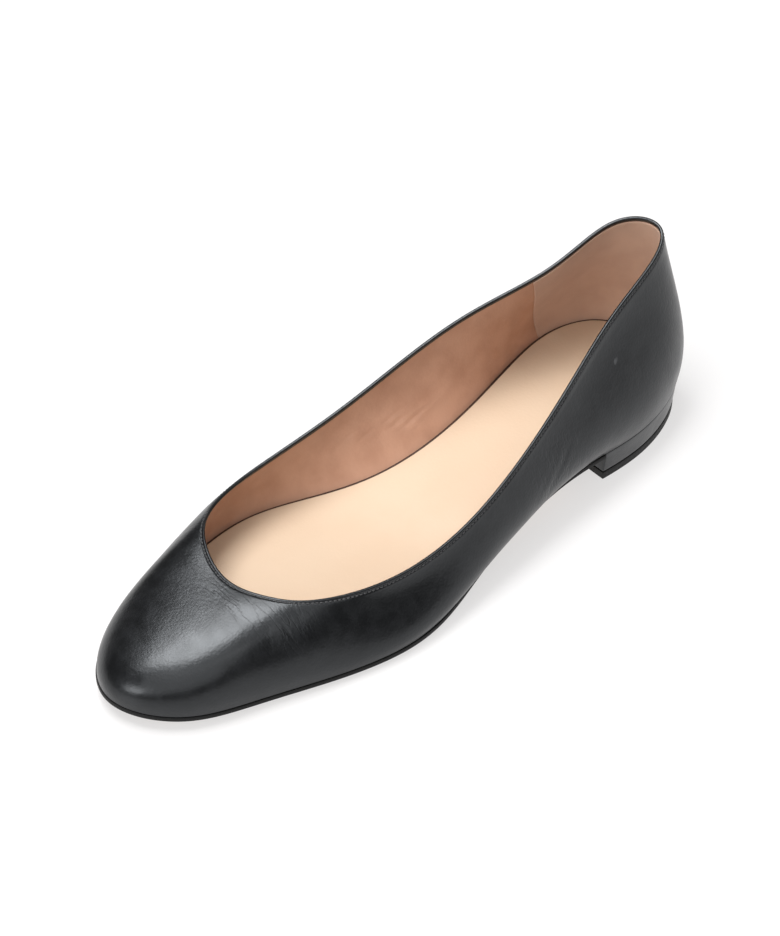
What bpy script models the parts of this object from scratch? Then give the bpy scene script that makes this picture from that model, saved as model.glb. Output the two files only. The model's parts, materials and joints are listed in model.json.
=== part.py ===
"""Ballet flat, left shoe: a plain leather pump with a round toe on a low covered heel.

Metres, +Z up. The toe points to -Y, the heel to +Y, and the outer side of the foot is at +X.
The floor is z = 0, and the origin lies under the middle of the shoe's box.
"""
from collections import namedtuple

import bmesh
import bpy
import numpy as np

# Sizes of the last
SOLE_LENGTH = 0.2440
BALL_WIDTH = 0.0810
WAIST_WIDTH = 0.0465
HEEL_WIDTH = 0.0565
TOE_SPRING = 0.0033

# Sizes of the upper
BACK_HEIGHT = 0.0715
THROAT_HEIGHT = 0.0288
VAMP_LENGTH = 0.0495
COLLAR_WIDTH = 0.0335
UPPER_WALL = 0.0016
TOPLINE_WALL = 0.0012

# Sizes of the pieces underneath
OUTSOLE_EDGE = 0.0024
OUTSOLE_CROWN = 0.0011
OUTSOLE_ROUNDING = 0.0120
OUTSOLE_WELT = 0.0004
EDGE_TUCK = 0.0006
INSOLE_THICKNESS = 0.0022
HEEL_CUSHION = 0.0012
HEEL_HEIGHT = 0.0131
HEEL_LENGTH = 0.0520
HEEL_TAPER = 0.0010
HEEL_ROUNDING = 0.0005
LIFT_THICKNESS = 0.0032
LIFT_ROUNDING = 0.0003
CLEARANCE = 0.0003

# How finely the curved faces are divided
SPOKES = 96
LEVELS = 12
FOLD_STEPS = 3
RIB_SHARES = (0.04, 0.10, 0.18, 0.28, 0.40, 0.60, 0.72, 0.82, 0.90, 0.96)

# The sole's outline: how far each station lies across, and behind the toe's tip
EdgeRow = namedtuple("EdgeRow", "station width across behind")
SOLE_OUTLINE = (
    EdgeRow("heel back", HEEL_WIDTH, 0.00, 1.000),
    EdgeRow("heel, outer", HEEL_WIDTH, 0.33, 0.973),
    EdgeRow("quarter, outer", HEEL_WIDTH, 0.515, 0.857),
    EdgeRow("waist back, outer", WAIST_WIDTH, 0.595, 0.708),
    EdgeRow("waist, outer", WAIST_WIDTH, 0.72, 0.532),
    EdgeRow("joint, outer", BALL_WIDTH, 0.507, 0.365),
    EdgeRow("vamp, outer", BALL_WIDTH, 0.35, 0.179),
    EdgeRow("toe corner, outer", BALL_WIDTH, 0.205, 0.056),
    EdgeRow("toe", BALL_WIDTH, -0.072, 0.000),
    EdgeRow("toe corner, inner", BALL_WIDTH, -0.312, 0.055),
    EdgeRow("vamp, inner", BALL_WIDTH, -0.405, 0.160),
    EdgeRow("joint, inner", BALL_WIDTH, -0.480, 0.348),
    EdgeRow("waist, inner", WAIST_WIDTH, -0.47, 0.520),
    EdgeRow("waist back, inner", WAIST_WIDTH, -0.405, 0.703),
    EdgeRow("quarter, inner", HEEL_WIDTH, -0.485, 0.864),
    EdgeRow("heel, inner", HEEL_WIDTH, -0.355, 0.968),
)

# The topline: the same stations, each share of the size that stands before it
TopRow = namedtuple("TopRow", "station width across length behind height up")
TOPLINE = (
    TopRow("heel back", COLLAR_WIDTH, 0.02, SOLE_LENGTH, 0.988, BACK_HEIGHT, 1.00),
    TopRow("heel, outer", COLLAR_WIDTH, 0.32, SOLE_LENGTH, 0.948, BACK_HEIGHT, 0.95),
    TopRow("quarter, outer", COLLAR_WIDTH, 0.48, SOLE_LENGTH, 0.839, BACK_HEIGHT, 0.835),
    TopRow("waist back, outer", BALL_WIDTH, 0.305, SOLE_LENGTH, 0.704, BACK_HEIGHT, 0.66),
    TopRow("waist, outer", BALL_WIDTH, 0.405, SOLE_LENGTH, 0.524, BACK_HEIGHT, 0.452),
    TopRow("joint, outer", BALL_WIDTH, 0.39, SOLE_LENGTH, 0.368, THROAT_HEIGHT, 0.94),
    TopRow("vamp, outer", BALL_WIDTH, 0.275, VAMP_LENGTH, 1.305, THROAT_HEIGHT, 0.99),
    TopRow("toe corner, outer", BALL_WIDTH, 0.143, VAMP_LENGTH, 1.095, THROAT_HEIGHT, 1.02),
    TopRow("toe", BALL_WIDTH, -0.034, VAMP_LENGTH, 1.00, THROAT_HEIGHT, 1.00),
    TopRow("toe corner, inner", BALL_WIDTH, -0.222, VAMP_LENGTH, 1.073, THROAT_HEIGHT, 1.035),
    TopRow("vamp, inner", BALL_WIDTH, -0.37, VAMP_LENGTH, 1.293, THROAT_HEIGHT, 1.06),
    TopRow("joint, inner", BALL_WIDTH, -0.435, SOLE_LENGTH, 0.358, THROAT_HEIGHT, 1.04),
    TopRow("waist, inner", BALL_WIDTH, -0.40, SOLE_LENGTH, 0.520, BACK_HEIGHT, 0.505),
    TopRow("waist back, inner", BALL_WIDTH, -0.327, SOLE_LENGTH, 0.703, BACK_HEIGHT, 0.70),
    TopRow("quarter, inner", COLLAR_WIDTH, -0.507, SOLE_LENGTH, 0.845, BACK_HEIGHT, 0.83),
    TopRow("heel, inner", COLLAR_WIDTH, -0.334, SOLE_LENGTH, 0.942, BACK_HEIGHT, 0.98),
)

# How the wall curves from the sole's edge to the topline, in shares of its straight height
CurveRow = namedtuple("CurveRow", "station low_out low_up high_out high_down")
WALL_CURVE = (
    CurveRow("heel back", 0.06, 0.31, 0.065, 0.30),
    CurveRow("heel, outer", 0.10, 0.34, 0.085, 0.32),
    CurveRow("quarter, outer", 0.09, 0.33, 0.07, 0.33),
    CurveRow("waist back, outer", 0.34, 0.27, 0.075, 0.36),
    CurveRow("waist, outer", 0.37, 0.32, 0.08, 0.35),
    CurveRow("joint, outer", 0.10, 0.29, 0.05, 0.33),
    CurveRow("vamp, outer", 0.04, 0.33, 0.27, 0.11),
    CurveRow("toe corner, outer", 0.03, 0.28, 0.43, 0.05),
    CurveRow("toe", 0.04, 0.25, 0.44, 0.055),
    CurveRow("toe corner, inner", 0.03, 0.27, 0.42, 0.07),
    CurveRow("vamp, inner", 0.09, 0.35, 0.25, 0.10),
    CurveRow("joint, inner", 0.12, 0.34, 0.10, 0.27),
    CurveRow("waist, inner", 0.22, 0.32, 0.04, 0.29),
    CurveRow("waist back, inner", 0.16, 0.32, 0.03, 0.32),
    CurveRow("quarter, inner", 0.07, 0.34, 0.067, 0.34),
    CurveRow("heel, inner", 0.065, 0.31, 0.06, 0.31),
)

# The outsole's side from its top face down: share of the welt outwards, of the tuck inwards, and of the depth
SideRow = namedtuple("SideRow", "out tuck down")
OUTSOLE_SIDE = (
    SideRow(0.5, 0.0, 0.00),
    SideRow(1.0, 0.0, 0.22),
    SideRow(1.0, 0.0, 0.62),
    SideRow(0.0, 1.0, 1.00),
)

# Where the sole leaves the floor, as shares of its length behind the toe's tip
SPRING_START = 0.295
ARCH_START = 0.400
# A spoke leans towards the throat where its foot and its top lie this far apart
LEAN_START = 0.008
LEAN_RUN = 0.020
# The steepest slant that widens the wall's footing
LEAST_FOOTING = 0.60

TOE_Y = -SOLE_LENGTH / 2.0
BREAST_Y = SOLE_LENGTH / 2.0 - HEEL_LENGTH
BALL_SEAT = OUTSOLE_EDGE + OUTSOLE_CROWN + CLEARANCE
HEEL_SEAT = HEEL_HEIGHT + CLEARANCE


def smooth_step(share):
    """Rise from 0 to 1 that starts and ends level."""
    share = np.clip(share, 0.0, 1.0)
    return share * share * (3.0 - 2.0 * share)


def seat_height(y):
    """Height of the line where upper and insole stand, over toe spring, ball, arch and heel."""
    spring_y = TOE_Y + SPRING_START * SOLE_LENGTH
    arch_y = TOE_Y + ARCH_START * SOLE_LENGTH
    spring = TOE_SPRING * (np.maximum(0.0, spring_y - y) / (spring_y - TOE_Y)) ** 2
    arch = (HEEL_SEAT - BALL_SEAT) * smooth_step((y - arch_y) / (BREAST_Y - arch_y))
    return BALL_SEAT + spring + arch


def closed_spline(rows, count):
    """Points of a smooth closed curve through the rows, evenly spaced in the rows' order."""
    rows = np.asarray(rows, dtype=float)
    knots = len(rows)
    ahead = np.roll(rows, -1, axis=0)
    astern = np.roll(rows, 1, axis=0)
    unit = np.eye(knots)
    system = 4.0 * unit + np.roll(unit, 1, axis=0) + np.roll(unit, -1, axis=0)
    bend = np.linalg.solve(system, ahead - 2.0 * rows + astern)
    place = np.arange(count) * knots / count
    first = place.astype(int)
    second = (first + 1) % knots
    share = (place - first)[:, None]
    rest = 1.0 - share
    straight = rest * rows[first] + share * rows[second]
    return straight + (rest ** 3 - rest) * bend[first] + (share ** 3 - share) * bend[second]


def unit_vectors(vectors):
    """The vectors at length 1."""
    return vectors / np.maximum(np.linalg.norm(vectors, axis=-1, keepdims=True), 1e-9)


def outward(ring):
    """Level directions that point out of a ring which runs heel, outer side, toe, inner side."""
    along = np.roll(ring, -1, axis=0) - np.roll(ring, 1, axis=0)
    across = np.column_stack((-along[:, 1], along[:, 0], np.zeros(len(ring))))
    return unit_vectors(across)


def sole_edge():
    """The line where the upper's outer face meets the sole, one point a spoke."""
    rows = [(row.across * row.width, TOE_Y + row.behind * SOLE_LENGTH) for row in SOLE_OUTLINE]
    flat = closed_spline(rows, SPOKES)
    return np.column_stack((flat, seat_height(flat[:, 1])))


def top_edge():
    """The line where the folded edge starts, half a fold below the topline."""
    rows = [
        (row.across * row.width, TOE_Y + row.behind * row.length, row.up * row.height - TOPLINE_WALL / 2.0)
        for row in TOPLINE
    ]
    return closed_spline(rows, SPOKES)


def outer_face():
    """The upper's outer face: an array of points, spokes round the shoe by levels up the wall."""
    foot = sole_edge()
    top = top_edge()
    curve = closed_spline([row[1:] for row in WALL_CURVE], SPOKES)
    low_out, low_up, high_out, high_down = (column[:, None] for column in curve.T)
    reach = np.linalg.norm(top - foot, axis=1, keepdims=True)
    up = np.array((0.0, 0.0, 1.0))
    square = outward(foot)
    level_lean = (foot - top) * (1.0, 1.0, 0.0)
    distance = np.linalg.norm(level_lean, axis=1, keepdims=True)
    leaning = smooth_step((distance - LEAN_START) / LEAN_RUN)
    lean = unit_vectors((1.0 - leaning) * square + leaning * unit_vectors(level_lean))
    low_handle = foot + reach * (low_out * square + low_up * up)
    high_handle = top + reach * (high_out * lean - high_down * up)
    share = np.linspace(0.0, 1.0, LEVELS)[None, :, None]
    rest = 1.0 - share
    return (
        rest ** 3 * foot[:, None]
        + 3.0 * rest ** 2 * share * low_handle[:, None]
        + 3.0 * rest * share ** 2 * high_handle[:, None]
        + share ** 3 * top[:, None]
    )


def face_normals(face):
    """Directions square to a grid of points, away from the foot."""
    around = np.roll(face, -1, axis=0) - np.roll(face, 1, axis=0)
    upward = np.gradient(face, axis=1)
    return unit_vectors(np.cross(upward, around))


def inner_face(face, normals):
    """The upper's inner face: the outer one set in by the wall, with a level foot."""
    wall = UPPER_WALL + (TOPLINE_WALL - UPPER_WALL) * np.linspace(0.0, 1.0, LEVELS)[None, :, None] ** 2
    inner = face - normals * wall
    foot = face[:, 0]
    square = outward(foot)
    slant = np.sum(normals[:, 0] * square, axis=1, keepdims=True)
    inner[:, 0] = foot - square * UPPER_WALL / np.maximum(slant, LEAST_FOOTING)
    inner[:, 0, 2] = seat_height(inner[:, 0, 1])
    return inner


def folded_edge(face, inner):
    """Rings of the rounded fold between the tops of both faces."""
    middle = (face[:, -1] + inner[:, -1]) / 2.0
    half = (face[:, -1] - inner[:, -1]) / 2.0
    rise = unit_vectors(face[:, -1] - face[:, -2]) * TOPLINE_WALL / 2.0
    turns = np.linspace(0.0, np.pi, FOLD_STEPS + 2)[1:-1]
    return [middle + half * np.cos(turn) + rise * np.sin(turn) for turn in turns]


def add_ring(mesh, ring):
    """Vertices of one closed ring."""
    return [mesh.verts.new(point) for point in ring]


def join_rings(mesh, upper_ring, lower_ring):
    """Four-sided faces between two rings of as many vertices."""
    count = len(upper_ring)
    for index in range(count):
        following = (index + 1) % count
        corners = (upper_ring[index], upper_ring[following], lower_ring[following], lower_ring[index])
        mesh.faces.new(corners)


def cover_ring(mesh, ring, height, flip):
    """Close a ring with ribs that run across the sole, from the outer side to the inner side."""
    count = len(ring)
    half = count // 2
    ribs = [[ring[0]]]
    for index in range(1, half):
        start = ring[index]
        stop = ring[count - index]
        span = stop.co - start.co
        width = span.length
        rib = [start]
        for share in RIB_SHARES:
            point = start.co + span * share
            point.z = height(point.y, width * min(share, 1.0 - share))
            rib.append(mesh.verts.new(point))
        rib.append(stop)
        ribs.append(rib)
    ribs.append([ring[half]])
    for rib, following in zip(ribs, ribs[1:]):
        for place in range(max(len(rib), len(following)) - 1):
            near = rib[place:place + 2] if len(rib) > 1 else rib
            far = following[place:place + 2] if len(following) > 1 else following
            corners = near + far[::-1]
            mesh.faces.new(corners[::-1] if flip else corners)


def cut_across(mesh, y, keep_front):
    """Cut the mesh at y, drop what lies past it and close the cut."""
    direction = (0.0, 1.0, 0.0) if keep_front else (0.0, -1.0, 0.0)
    everything = mesh.verts[:] + mesh.edges[:] + mesh.faces[:]
    bmesh.ops.bisect_plane(
        mesh, geom=everything, dist=1e-7, plane_co=(0.0, y, 0.0), plane_no=direction, clear_outer=True
    )
    rim = [edge for edge in mesh.edges if edge.is_boundary]
    bmesh.ops.edgeloop_fill(mesh, edges=rim)


def leather(name, colour, roughness):
    """A plain material for one piece."""
    material = bpy.data.materials.new(name)
    material.use_nodes = True
    shader = material.node_tree.nodes["Principled BSDF"]
    shader.inputs["Base Color"].default_value = (*colour, 1.0)
    shader.inputs["Roughness"].default_value = roughness
    shader.inputs["Metallic"].default_value = 0.0
    return material


def add_piece(name, mesh, material):
    """Turn a finished mesh into a named object, with its faces outwards and its curves smooth."""
    bmesh.ops.recalc_face_normals(mesh, faces=mesh.faces[:])
    data = bpy.data.meshes.new(name)
    mesh.to_mesh(data)
    mesh.free()
    data.materials.append(material)
    data.shade_smooth()
    data.set_sharp_from_angle(angle=np.radians(35.0))
    piece = bpy.data.objects.new(name, data)
    bpy.context.scene.collection.objects.link(piece)
    return piece


def round_edges(piece, width):
    """Round the sharp edges of a block."""
    bevel = piece.modifiers.new("rounding", "BEVEL")
    bevel.width = width
    bevel.segments = 2
    bevel.limit_method = "ANGLE"
    bevel.angle_limit = np.radians(40.0)


def build_upper(face, inner):
    """The hollow wall: outer face, folded edge, inner face and the footing between them."""
    mesh = bmesh.new()
    rings = [face[:, level] for level in range(LEVELS)]
    rings += folded_edge(face, inner)
    rings += [inner[:, level] for level in reversed(range(LEVELS))]
    loops = [add_ring(mesh, ring) for ring in rings]
    for loop, following in zip(loops, loops[1:] + loops[:1]):
        join_rings(mesh, loop, following)
    return add_piece("upper", mesh, leather("upper leather", (0.012, 0.012, 0.013), 0.35))


def build_insole(inner):
    """Insole with its sock: it fills the wall from side to side, and is thicker under the heel."""
    def top_height(y, _distance=0.0):
        """Height of the sock at y."""
        cushion = HEEL_CUSHION * smooth_step((y - TOE_Y) / (BREAST_Y - TOE_Y))
        return seat_height(y) + INSOLE_THICKNESS + cushion

    def bottom_height(y, _distance=0.0):
        """Height of the board's underside at y."""
        return seat_height(y)

    low = inner[:, 0] - outward(inner[:, 0]) * CLEARANCE
    low[:, 2] = seat_height(low[:, 1])
    high = np.empty_like(low)
    for spoke, column in enumerate(inner):
        wanted = top_height(column[0, 1])
        for axis in range(3):
            high[spoke, axis] = np.interp(wanted, column[:, 2], column[:, axis])
    high -= outward(high) * CLEARANCE
    high[:, 2] = top_height(high[:, 1])
    mesh = bmesh.new()
    top_loop = add_ring(mesh, high)
    low_loop = add_ring(mesh, low)
    join_rings(mesh, top_loop, low_loop)
    cover_ring(mesh, top_loop, top_height, False)
    cover_ring(mesh, low_loop, bottom_height, True)
    return add_piece("insole", mesh, leather("sock leather", (0.78, 0.55, 0.37), 0.5))


def build_outsole(foot):
    """Thin sole from the toe to the heel's breast, crowned below so that its tread lies flat."""
    def top_height(y, _distance=0.0):
        """Height of the upper face at y."""
        return seat_height(y) - CLEARANCE

    def bottom_height(y, distance):
        """Height of the tread at y, this far from the edge."""
        crown = OUTSOLE_CROWN * smooth_step(distance / OUTSOLE_ROUNDING)
        return max(0.0, top_height(y) - OUTSOLE_EDGE - crown)

    mesh = bmesh.new()
    loops = []
    square = outward(foot)
    for row in OUTSOLE_SIDE:
        ring = foot + square * (row.out * OUTSOLE_WELT - row.tuck * EDGE_TUCK)
        ring[:, 2] = top_height(ring[:, 1]) - row.down * OUTSOLE_EDGE
        loops.append(add_ring(mesh, ring))
    for loop, following in zip(loops, loops[1:]):
        join_rings(mesh, loop, following)
    cover_ring(mesh, loops[0], top_height, False)
    cover_ring(mesh, loops[-1], bottom_height, True)
    cut_across(mesh, BREAST_Y - CLEARANCE, True)
    return add_piece("outsole", mesh, leather("sole leather", (0.03, 0.028, 0.026), 0.45))


def heel_slice(name, foot, layers, material, rounding):
    """A block of the heel's outline: one ring for each pair of height and inset, cut at the breast."""
    mesh = bmesh.new()
    square = outward(foot)
    loops = []
    for height, inset in layers:
        ring = foot - square * inset
        ring[:, 2] = height
        loops.append(add_ring(mesh, ring))
    for loop, following in zip(loops, loops[1:]):
        join_rings(mesh, loop, following)
    mesh.faces.new(loops[0])
    mesh.faces.new(loops[-1][::-1])
    cut_across(mesh, BREAST_Y, False)
    piece = add_piece(name, mesh, material)
    round_edges(piece, rounding)
    return piece


def build_heel(foot):
    """Covered block between the heel seat and the top lift, a little narrower below."""
    layers = ((HEEL_HEIGHT, 0.0), (LIFT_THICKNESS + CLEARANCE, HEEL_TAPER))
    material = leather("heel leather", (0.014, 0.014, 0.015), 0.4)
    return heel_slice("heel", foot, layers, material, HEEL_ROUNDING)


def build_top_lift(foot):
    """Rubber lift that the heel stands on."""
    layers = ((LIFT_THICKNESS, HEEL_TAPER), (0.0, HEEL_TAPER))
    material = leather("lift rubber", (0.010, 0.010, 0.010), 0.7)
    return heel_slice("top_lift", foot, layers, material, LIFT_ROUNDING)


def centre_on_origin(pieces):
    """Move the pieces together so that the origin lies under the middle of their box."""
    points = np.array([vertex.co for piece in pieces for vertex in piece.data.vertices])
    middle = (points.min(axis=0) + points.max(axis=0)) / 2.0
    for piece in pieces:
        piece.location = (-middle[0], -middle[1], 0.0)


def main():
    """Build the shoe."""
    for item in list(bpy.data.objects):
        bpy.data.objects.remove(item)
    foot = sole_edge()
    face = outer_face()
    inner = inner_face(face, face_normals(face))
    pieces = [
        build_upper(face, inner),
        build_insole(inner),
        build_outsole(foot),
        build_heel(foot),
        build_top_lift(foot),
    ]
    centre_on_origin(pieces)


main()
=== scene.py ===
"""Looks of a black leather ballet flat, left shoe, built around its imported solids.

Metres, +Z up. The toe points to -Y, the heel to +Y, and the outer side of the foot is at +X.
"""

import json
import logging
import math
from collections.abc import Iterator
from contextlib import contextmanager
from dataclasses import dataclass
from enum import Enum

import bmesh
import bpy
import numpy as np
from bmesh.types import BMesh, BMVert
from bpy.types import Material, Node, NodeSocket, NodeTree, Object, bpy_prop_collection
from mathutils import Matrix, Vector, noise
from mathutils.bvhtree import BVHTree

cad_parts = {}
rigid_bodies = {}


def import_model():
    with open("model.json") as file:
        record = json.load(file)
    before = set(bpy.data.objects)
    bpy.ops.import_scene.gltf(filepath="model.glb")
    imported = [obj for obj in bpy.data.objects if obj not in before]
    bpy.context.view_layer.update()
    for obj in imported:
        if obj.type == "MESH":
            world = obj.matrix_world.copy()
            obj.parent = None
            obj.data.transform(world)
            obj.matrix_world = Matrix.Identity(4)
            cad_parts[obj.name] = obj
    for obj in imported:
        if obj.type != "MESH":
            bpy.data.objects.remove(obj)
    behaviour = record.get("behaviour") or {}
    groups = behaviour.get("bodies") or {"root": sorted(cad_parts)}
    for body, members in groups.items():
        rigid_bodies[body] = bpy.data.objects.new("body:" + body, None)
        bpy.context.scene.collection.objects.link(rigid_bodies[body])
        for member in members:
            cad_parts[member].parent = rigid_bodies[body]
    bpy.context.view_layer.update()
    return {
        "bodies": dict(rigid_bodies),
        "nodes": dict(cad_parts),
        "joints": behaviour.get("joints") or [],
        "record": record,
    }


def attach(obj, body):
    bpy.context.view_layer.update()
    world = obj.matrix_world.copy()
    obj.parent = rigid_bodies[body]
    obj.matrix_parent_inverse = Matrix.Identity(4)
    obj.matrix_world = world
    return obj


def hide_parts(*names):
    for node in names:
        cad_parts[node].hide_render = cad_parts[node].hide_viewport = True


log = logging.getLogger("ballet_flat")

BODY = "root"
MERGE = 1e-6
MM = 0.001
SMOOTH_BELOW = math.radians(50)
QUAD_ANGLE = math.radians(60)

Colour = tuple[float, float, float, float]
Point = tuple[float, float, float]


class Slot(Enum):
    """The record's material slots."""

    UPPER = "upper_leather"
    LINING = "lining_leather"
    SOCK = "sock_leather"
    SOLE = "sole_leather"
    HEEL = "heel_leather"
    LIFT = "lift_rubber"
    THREAD = "thread"


class Ring(Enum):
    """Rings of the wall's net, which runs up the outer face, over the fold and down the inner face."""

    FOOT = 0
    TOP = 11
    CROWN = 13
    INNER_TOP = 15
    INNER_FOOT = 26


def clear_scene() -> None:
    """Remove whatever the file holds."""
    for item in list(bpy.data.objects):
        bpy.data.objects.remove(item)


def pick(piece: Object) -> None:
    """Select one object alone and make it active.

    Args:
        piece: the object.
    """
    bpy.ops.object.select_all(action="DESELECT")
    piece.select_set(True)
    bpy.context.view_layer.objects.active = piece


@contextmanager
def editing(piece: Object, kind: str = "VERT") -> Iterator[None]:
    """Hold a piece in edit mode, with the selection made beforehand.

    Args:
        piece: the object to edit.
        kind: VERT, EDGE or FACE.
    """
    pick(piece)
    bpy.context.tool_settings.mesh_select_mode = tuple(kind == name for name in ("VERT", "EDGE", "FACE"))
    bpy.ops.object.mode_set(mode="EDIT")
    try:
        yield
    finally:
        bpy.ops.object.mode_set(mode="OBJECT")


def mark(piece: Object, kind: str, chosen: np.ndarray) -> None:
    """Select some vertices, edges or faces of a piece, and nothing else.

    Args:
        piece: the object.
        kind: VERT, EDGE or FACE.
        chosen: one true or false for each of them.
    """
    mesh = piece.data
    for group in (mesh.vertices, mesh.edges, mesh.polygons):
        group.foreach_set("select", np.zeros(len(group), dtype=bool))
    group = {"VERT": mesh.vertices, "EDGE": mesh.edges, "FACE": mesh.polygons}[kind]
    group.foreach_set("select", np.asarray(chosen, dtype=bool))


def read_all(items: bpy_prop_collection, name: str, width: int = 3) -> np.ndarray:
    """Read a property of all vertices, faces or other items of a mesh.

    Args:
        items: the items.
        name: the property.
        width: how many numbers it has.

    Returns:
        One row for each item.
    """
    flat = np.empty(len(items) * width, dtype=np.float32)
    items.foreach_get(name, flat)
    return flat.reshape(-1, width)


def points_of(piece: Object) -> np.ndarray:
    """Places of a piece's vertices, one row each."""
    return read_all(piece.data.vertices, "co").astype(float)


def normals_of(piece: Object) -> np.ndarray:
    """Directions square to the surface at a piece's vertices, one row each."""
    return read_all(piece.data.vertex_normals, "vector").astype(float)


def faces_within(piece: Object, boxes: tuple[tuple[Point, Point], ...]) -> np.ndarray:
    """Find the faces whose middles lie in one of some boxes.

    Args:
        piece: the object.
        boxes: lowest and highest corner of each box.

    Returns:
        One true or false for each face.
    """
    centres = read_all(piece.data.polygons, "center")
    chosen = np.zeros(len(centres), dtype=bool)
    for low, high in boxes:
        chosen |= np.all((centres > np.float32(low)) & (centres < np.float32(high)), axis=1)
    return chosen


def place(piece: Object, points: np.ndarray) -> None:
    """Move a piece's vertices to these places."""
    piece.data.vertices.foreach_set("co", np.ascontiguousarray(points, dtype=np.float32).ravel())
    piece.data.update()


def note(piece: Object, name: str, values: np.ndarray) -> None:
    """Keep one number for each vertex under a name that materials can read."""
    layer = piece.data.attributes.get(name) or piece.data.attributes.new(name, "FLOAT", "POINT")
    layer.data.foreach_set("value", np.ascontiguousarray(values, dtype=np.float32))


def noted(piece: Object, name: str) -> np.ndarray:
    """The numbers that note() kept, one for each vertex."""
    return read_all(piece.data.attributes[name].data, "value", 1).ravel().astype(float)


def apply_modifier(piece: Object, kind: str, **settings: object) -> None:
    """Add a modifier, set it and apply it.

    Args:
        piece: the object.
        kind: the modifier's type.
        settings: its options by name.
    """
    pick(piece)
    modifier = piece.modifiers.new(kind.lower(), kind)
    for key, value in settings.items():
        setattr(modifier, key, value)
    bpy.ops.object.modifier_apply(modifier=modifier.name)


def subdivide(piece: Object, levels: int) -> None:
    """Smooth a piece by subdivision."""
    apply_modifier(piece, "SUBSURF", levels=levels, render_levels=levels)


def round_edges(piece: Object, width: float, sharper_than: float) -> None:
    """Bevel the edges that are sharper than an angle in radians."""
    apply_modifier(piece, "BEVEL", width=width, segments=2, limit_method="ANGLE", angle_limit=sharper_than)


def thicken(piece: Object, thickness: float) -> None:
    """Give a sheet its thickness, on its inner side."""
    apply_modifier(piece, "SOLIDIFY", thickness=thickness, offset=-1.0, use_rim=True)


def smooth_step(share: np.ndarray) -> np.ndarray:
    """Rise from 0 to 1 that starts and ends level."""
    share = np.clip(share, 0.0, 1.0)
    return share * share * (3.0 - 2.0 * share)


def copy_node(frame: dict, node: str, name: str, net: bool = False) -> Object:
    """Copy one of the frame's solids, merged.

    Args:
        node: the solid's name.
        name: the new piece's name.
        net: true leaves the triangles, for a wall whose net is walked afterwards.

    Returns:
        The new object, which rides on nothing yet.
    """
    data = frame["nodes"][node].data.copy()
    data.name = name
    data.materials.clear()
    piece = bpy.data.objects.new(name, data)
    bpy.context.scene.collection.objects.link(piece)
    pick(piece)
    bpy.ops.mesh.customdata_custom_splitnormals_clear()
    with editing(piece):
        bpy.ops.mesh.select_all(action="SELECT")
        bpy.ops.mesh.remove_doubles(threshold=MERGE)
        if not net:
            bpy.ops.mesh.tris_convert_to_quads(face_threshold=QUAD_ANGLE, shape_threshold=QUAD_ANGLE)
        bpy.ops.mesh.select_all(action="DESELECT")
    return piece


def finish_piece(
    piece: Object, material: Material, replaces: str | None = None
) -> Object:
    """Dress a finished mesh and hang it on the shoe's body.

    Args:
        piece: the object.
        material: its finish.
        replaces: the solid that it stands for, if any.

    Returns:
        The same object.
    """
    pick(piece)
    piece.data.materials.clear()
    piece.data.materials.append(material)
    bpy.ops.object.shade_smooth_by_angle(angle=SMOOTH_BELOW)
    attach(piece, BODY)
    if replaces:
        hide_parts(replaces)
    log.info("%s: %d faces", piece.name, len(piece.data.polygons))
    return piece


def straight_on(vertex: BMVert, heading: Vector) -> BMVert:
    """The neighbour that lies closest to a heading from a vertex."""
    return max(
        (edge.other_vert(vertex) for edge in vertex.link_edges),
        key=lambda other: (other.co - vertex.co).normalized().dot(heading),
    )


def walk(start: BMVert, first: BMVert, steps: int) -> list[BMVert]:
    """Follow a line of the net straight on.

    Args:
        start: where the walk starts.
        first: the vertex that it goes to first.
        steps: how many steps it takes at most; it stops sooner where it comes back to its start.

    Returns:
        The vertices passed, the start among them.
    """
    found = [start]
    vertex = first
    while vertex is not start and len(found) < steps:
        found.append(vertex)
        vertex = straight_on(vertex, (vertex.co - found[-2].co).normalized())
    return found


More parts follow.
